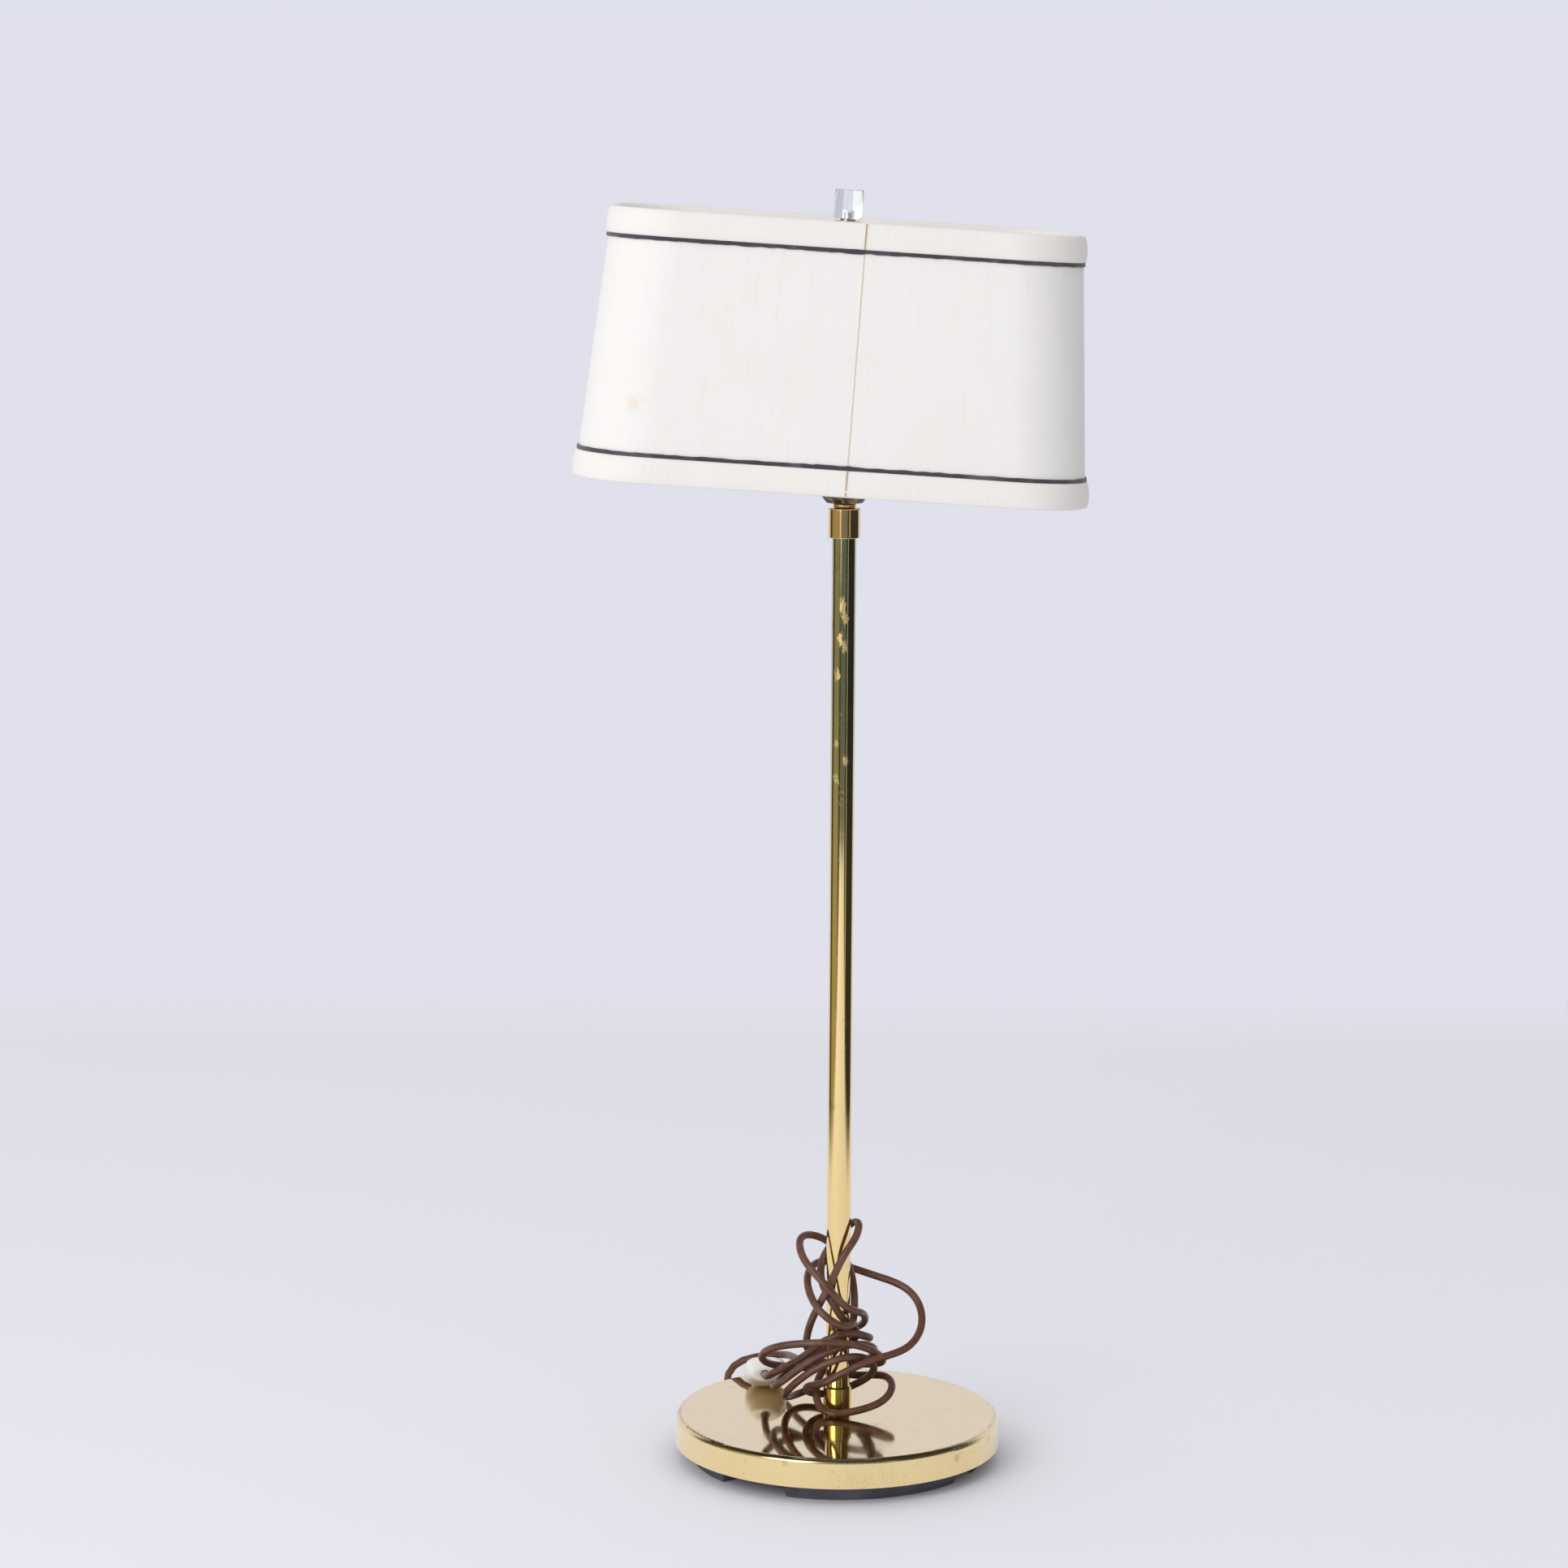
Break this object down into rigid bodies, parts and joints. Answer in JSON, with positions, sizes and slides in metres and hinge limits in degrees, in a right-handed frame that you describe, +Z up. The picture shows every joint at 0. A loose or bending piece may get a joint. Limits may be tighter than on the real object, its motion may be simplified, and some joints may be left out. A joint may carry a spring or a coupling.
{
  "type": "floor lamp",
  "caption": "Floor lamp: brass pole on a round weighted base, oblong cloth shade that tilts on a ball under a clear knob, cord wound round the pole.",
  "frame": {"origin": "on the floor under the pole's axis", "axes": "+Z up along the pole, the camera side at -Y, +X to the picture's right"},
  "size_m": [0.3869, 0.2562, 0.9956],
  "materials": {
    "polished_brass": "polished and lacquered, tarnished in places",
    "turned_brass": "turned",
    "cast_weight": "rough cast",
    "black_plastic": "matte",
    "plated_steel": "zinc plated",
    "holder_plastic": "moulded",
    "bulb_metal": "rolled",
    "opal_glass": "frosted",
    "white_liner": "satin sheet",
    "ivory_cloth": "slub weave",
    "cream_band": "slub weave",
    "dark_trim": "narrow braid",
    "clear_acrylic": "clear, polished",
    "brown_cord": "satin sheath",
    "white_plug": "moulded gloss"
  },
  "bodies": {
    "stand": {"foot_plate": "black_plastic", "base_weight": "cast_weight", "base_cover": "polished_brass", "foot_screws": "plated_steel", "clamp_washer": "plated_steel", "clamp_nut": "plated_steel", "pole_nipple": "plated_steel", "pole_foot_bush": "turned_brass", "base_ferrule": "polished_brass", "pole": "polished_brass", "pole_top_bush": "turned_brass", "neck_collar": "polished_brass", "neck_ring": "polished_brass", "holder_cup": "polished_brass", "holder_nipple": "plated_steel", "lampholder_base": "holder_plastic", "lampholder_sleeve": "holder_plastic", "screw_shell": "turned_brass", "centre_contact": "turned_brass", "bulb_cap": "bulb_metal", "bulb_glass": "opal_glass", "harp_ring": "plated_steel", "ring_nut": "holder_plastic", "harp_bow": "plated_steel", "harp_crown": "turned_brass", "inner_cable": "brown_cord", "cord_clamp": "black_plastic", "cord_grommet": "brown_cord", "cord_supply": "brown_cord", "cord_coil": "brown_cord", "cord_plug_lead": "brown_cord", "plug_body": "white_plug", "plug_pins": "turned_brass"},
    "switch": {"switch_bar": "holder_plastic"},
    "swivel": {"pivot_ball": "turned_brass"},
    "shade": {"spider_hub": "turned_brass", "hub_stud": "plated_steel", "spider_arms": "plated_steel", "top_frame": "plated_steel", "bottom_frame": "plated_steel", "shade_liner": "white_liner", "shade_cloth": "ivory_cloth", "top_band": "cream_band", "bottom_band": "cream_band", "top_trim": "dark_trim", "bottom_trim": "dark_trim"},
    "knob": {"shade_knob": "clear_acrylic", "knob_washer": "plated_steel"}
  },
  "joints": [
    {"name": "switch_push", "type": "slide", "parent": "stand", "child": "switch", "axis": [1, 0, 0], "range_m": [0, 0.005]},
    {"name": "shade_swivel", "type": "hinge", "parent": "stand", "child": "swivel", "pos_m": [0, 0, 0.96], "axis": [0, 0, 1], "continuous": true},
    {"name": "shade_tilt", "type": "hinge", "parent": "swivel", "child": "shade", "pos_m": [0, 0, 0.96], "axis": [0, 1, 0], "range_deg": [-15.4, 8.6]},
    {"name": "knob_turn", "type": "hinge", "parent": "shade", "child": "knob", "pos_m": [0, 0, 0.96], "axis": [0.0593, 0, 0.9982], "continuous": true}
  ]
}
